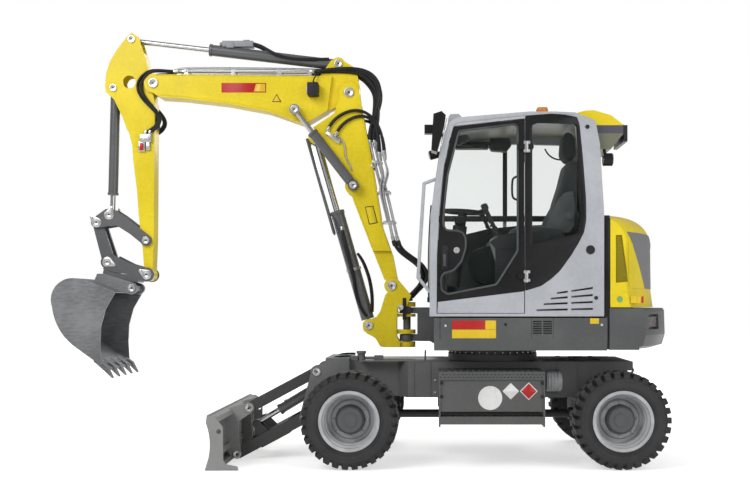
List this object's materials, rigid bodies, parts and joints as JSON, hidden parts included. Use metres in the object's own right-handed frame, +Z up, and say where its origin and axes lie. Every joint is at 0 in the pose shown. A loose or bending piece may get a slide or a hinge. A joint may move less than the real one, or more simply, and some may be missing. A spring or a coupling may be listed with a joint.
{
  "type": "wheeled excavator",
  "caption": "Compact wheeled excavator with a two-piece offset boom, tight-tail upper structure, side cab, front dozer blade and backhoe bucket.",
  "frame": {"origin": "middle of the plan bounding box, on the ground", "axes": "-X is the machine's front, towards the boom and blade; -Y is the cab's side; +Z is up"},
  "size_m": [5.3507, 1.95, 3.782],
  "materials": {
    "frame_grey": "satin",
    "axle_grey": "satin",
    "step_grey": "satin",
    "tyre": "matte",
    "rim": "satin",
    "blade_grey": "satin",
    "rod_chrome": "polished",
    "barrel_grey": "gloss",
    "yellow": "gloss",
    "cab_silver": "satin",
    "glass": "clear",
    "black_paint": "gloss",
    "seat_fabric": "matte",
    "black_plastic": "matte",
    "engine": "matte",
    "beacon": "gloss",
    "lamp_red": "gloss",
    "pipe_zinc": "satin",
    "bucket_steel": "satin",
    "bracket_grey": "satin"
  },
  "bodies": {
    "chassis": {"chassis_frame": "frame_grey", "blade_bracket": "frame_grey", "slew_ring": "frame_grey", "front_axle": "axle_grey", "rear_axle": "axle_grey", "drive_shaft": "axle_grey", "step_boxes": "step_grey"},
    "left_knuckle_body": {"left_knuckle": "axle_grey"},
    "right_knuckle_body": {"right_knuckle": "axle_grey"},
    "front_left_wheel": {"front_left_tyre": "tyre", "front_left_rim": "rim"},
    "front_right_wheel": {"front_right_tyre": "tyre", "front_right_rim": "rim"},
    "rear_left_wheel": {"rear_left_tyre": "tyre", "rear_left_rim": "rim"},
    "rear_right_wheel": {"rear_right_tyre": "tyre", "rear_right_rim": "rim"},
    "blade_arm_body": {"blade_arm": "blade_grey"},
    "blade_link_body": {"blade_link": "blade_grey"},
    "blade_body": {"blade": "blade_grey"},
    "blade_barrel_body": {"blade_barrels": "barrel_grey"},
    "blade_rod_body": {"blade_rods": "rod_chrome"},
    "upper": {"upper_frame": "frame_grey", "skirts": "frame_grey", "counterweight": "frame_grey", "tail_lamps": "lamp_red", "handrail": "cab_silver", "mirror": "black_plastic", "work_lamps": "black_plastic", "cab_shell": "cab_silver", "cab_glass": "glass", "seat": "seat_fabric", "controls": "black_plastic", "roof_pod": "yellow", "engine_block": "engine", "right_bonnet": "yellow", "beacon": "beacon"},
    "door_body": {"door": "black_paint", "door_glass": "glass"},
    "hood_body": {"hood": "yellow", "hood_grilles": "frame_grey"},
    "swing_body": {"swing_bracket": "yellow"},
    "lower_boom_body": {"lower_boom": "yellow"},
    "boom_barrel_body": {"boom_barrel": "barrel_grey"},
    "boom_rod_body": {"boom_rod": "rod_chrome", "cylinder_guard": "barrel_grey"},
    "upper_boom_body": {"upper_boom": "yellow", "boom_fittings": "pipe_zinc"},
    "adjust_barrel_body": {"adjust_barrels": "barrel_grey"},
    "adjust_rod_body": {"adjust_rods": "rod_chrome"},
    "stick_body": {"stick": "yellow"},
    "stick_barrel_body": {"stick_barrel": "barrel_grey"},
    "stick_rod_body": {"stick_rod": "rod_chrome"},
    "bucket_barrel_body": {"bucket_barrel": "barrel_grey"},
    "bucket_rod_body": {"bucket_rod": "rod_chrome"},
    "rocker_body": {"rocker": "bracket_grey"},
    "bucket_link_body": {"bucket_link": "bracket_grey"},
    "bucket_body": {"coupler": "bracket_grey", "bucket": "bucket_steel"}
  },
  "joints": [
    {"name": "slew", "type": "hinge", "parent": "chassis", "child": "upper", "pos_m": [1.17143, 0, 0.845], "axis": [0, 0, 1], "continuous": true},
    {"name": "steer_left", "type": "hinge", "parent": "chassis", "child": "left_knuckle_body", "pos_m": [-0.03357, -0.545, 0.394], "axis": [0, 0, 1], "range_deg": [-30, 30]},
    {"name": "steer_right", "type": "hinge", "parent": "chassis", "child": "right_knuckle_body", "pos_m": [-0.03357, 0.545, 0.394], "axis": [0, 0, 1], "range_deg": [-30.1, 30.1]},
    {"name": "front_left_wheel_spin", "type": "hinge", "parent": "left_knuckle_body", "child": "front_left_wheel", "pos_m": [-0.03357, -0.8, 0.394], "axis": [0, 1, 0], "continuous": true},
    {"name": "front_right_wheel_spin", "type": "hinge", "parent": "right_knuckle_body", "child": "front_right_wheel", "pos_m": [-0.03357, 0.8, 0.394], "axis": [0, 1, 0], "continuous": true},
    {"name": "rear_left_wheel_spin", "type": "hinge", "parent": "chassis", "child": "rear_left_wheel", "pos_m": [2.16643, -0.8, 0.394], "axis": [0, 1, 0], "continuous": true},
    {"name": "rear_right_wheel_spin", "type": "hinge", "parent": "chassis", "child": "rear_right_wheel", "pos_m": [2.16643, 0.8, 0.394], "axis": [0, 1, 0], "continuous": true},
    {"name": "blade_lift", "type": "hinge", "parent": "chassis", "child": "blade_arm_body", "pos_m": [-0.45957, 0, 0.358], "axis": [0, 1, 0], "range_deg": [0, 38]},
    {"name": "blade_link_turn", "type": "hinge", "parent": "chassis", "child": "blade_link_body", "pos_m": [-0.35757, 0, 0.753], "axis": [0, 1, 0], "range_deg": [-0.1, 38.1]},
    {"name": "blade_turn", "type": "hinge", "parent": "blade_arm_body", "child": "blade_body", "pos_m": [-1.04457, 0, 0.046], "axis": [0, 1, 0], "range_deg": [-38.1, 0.1]},
    {"name": "blade_barrel_turn", "type": "hinge", "parent": "chassis", "child": "blade_barrel_body", "pos_m": [-0.40057, 0, 0.59], "axis": [0, 1, 0], "range_deg": [-0.01, 28.5]},
    {"name": "blade_rod_slide", "type": "slide", "parent": "blade_barrel_body", "child": "blade_rod_body", "axis": [-0.8581, 0, -0.5135], "range_m": [-0.13122, 0.0005]},
    {"name": "door_hinge", "type": "hinge", "parent": "upper", "child": "door_body", "pos_m": [1.38043, -0.943, 1.9], "axis": [0, 0, 1], "range_deg": [0, 100]},
    {"name": "hood_hinge", "type": "hinge", "parent": "upper", "child": "hood_body", "pos_m": [2.05543, 0, 2.075], "axis": [0, -1, 0], "range_deg": [0, 55]},
    {"name": "boom_swing", "type": "hinge", "parent": "upper", "child": "swing_body", "pos_m": [0.40443, 0.15, 1.158], "axis": [0, 0, 1], "range_deg": [-55, 60]},
    {"name": "boom_lower", "type": "hinge", "parent": "swing_body", "child": "lower_boom_body", "pos_m": [0.27043, 0.15, 1.501], "axis": [0, -1, 0], "range_deg": [-10, 42]},
    {"name": "boom_barrel_turn", "type": "hinge", "parent": "swing_body", "child": "boom_barrel_body", "pos_m": [0.06443, 0.15, 1.143], "axis": [0, -1, 0], "range_deg": [-8.8, 36.92]},
    {"name": "boom_rod_slide", "type": "slide", "parent": "boom_barrel_body", "child": "boom_rod_body", "axis": [-0.274, 0, 0.9617], "range_m": [-0.25596, 0.06132]},
    {"name": "boom_adjust", "type": "hinge", "parent": "lower_boom_body", "child": "upper_boom_body", "pos_m": [-0.11357, 0.15, 3.237], "axis": [0, 1, 0], "range_deg": [-6, 28]},
    {"name": "adjust_barrel_turn", "type": "hinge", "parent": "lower_boom_body", "child": "adjust_barrel_body", "pos_m": [-0.06957, 0.15, 2.394], "axis": [0, 1, 0], "range_deg": [-1.38, 6.42]},
    {"name": "adjust_rod_slide", "type": "slide", "parent": "adjust_barrel_body", "child": "adjust_rod_body", "axis": [-0.6119, 0, 0.7909], "range_m": [-0.04868, 0.22535]},
    {"name": "stick_turn", "type": "hinge", "parent": "upper_boom_body", "child": "stick_body", "pos_m": [-1.87257, 0.15, 3.32], "axis": [0, 1, 0], "range_deg": [-22, 50]},
    {"name": "stick_barrel_turn", "type": "hinge", "parent": "upper_boom_body", "child": "stick_barrel_body", "pos_m": [-0.21257, 0.15, 3.504], "axis": [0, 1, 0], "range_deg": [-1.88, 4.26]},
    {"name": "stick_rod_slide", "type": "slide", "parent": "stick_barrel_body", "child": "stick_rod_body", "axis": [-0.9932, 0, 0.1162], "range_m": [-0.35585, 0.15685]},
    {"name": "bucket_curl", "type": "hinge", "parent": "stick_body", "child": "bucket_body", "pos_m": [-1.93457, 0.15, 1.6], "axis": [0, -1, 0], "range_deg": [-15, 90]},
    {"name": "rocker_turn", "type": "hinge", "parent": "stick_body", "child": "rocker_body", "pos_m": [-1.93957, 0.15, 1.907], "axis": [0, -1, 0], "range_deg": [-11.68, 70.05]},
    {"name": "bucket_link_turn", "type": "hinge", "parent": "rocker_body", "child": "bucket_link_body", "pos_m": [-2.38457, 0.15, 2.07], "axis": [0, -1, 0], "range_deg": [-54.39, 9.07]},
    {"name": "bucket_barrel_turn", "type": "hinge", "parent": "stick_body", "child": "bucket_barrel_body", "pos_m": [-2.24057, 0.15, 3.282], "axis": [0, -1, 0], "range_deg": [-1.68, 0.29]},
    {"name": "bucket_rod_slide", "type": "slide", "parent": "bucket_barrel_body", "child": "bucket_rod_body", "axis": [-0.0254, 0, -0.9997], "range_m": [-0.0775, 0.46247]}
  ],
  "couplings": [
    {"joint": "steer_right", "follows": "steer_left", "ratio": 1},
    {"joint": "blade_link_turn", "follows": "blade_lift", "ratio": 1},
    {"joint": "blade_turn", "follows": "blade_lift", "ratio": -1},
    {"joint": "blade_barrel_turn", "follows": "blade_lift", "ratio": 0.7482},
    {"joint": "blade_rod_slide", "follows": "blade_lift", "m_per_rad": -0.1971},
    {"joint": "boom_barrel_turn", "follows": "boom_lower", "ratio": 0.877},
    {"joint": "boom_rod_slide", "follows": "boom_lower", "m_per_rad": -0.3485},
    {"joint": "adjust_barrel_turn", "follows": "boom_adjust", "ratio": 0.2284},
    {"joint": "adjust_rod_slide", "follows": "boom_adjust", "m_per_rad": 0.4601},
    {"joint": "stick_barrel_turn", "follows": "stick_turn", "ratio": 0.0848},
    {"joint": "stick_rod_slide", "follows": "stick_turn", "m_per_rad": -0.4072},
    {"joint": "rocker_turn", "follows": "bucket_curl", "ratio": 0.7767},
    {"joint": "bucket_link_turn", "follows": "bucket_curl", "ratio": -0.603},
    {"joint": "bucket_barrel_turn", "follows": "bucket_curl", "ratio": -0.0185},
    {"joint": "bucket_rod_slide", "follows": "bucket_curl", "m_per_rad": 0.2941}
  ]
}
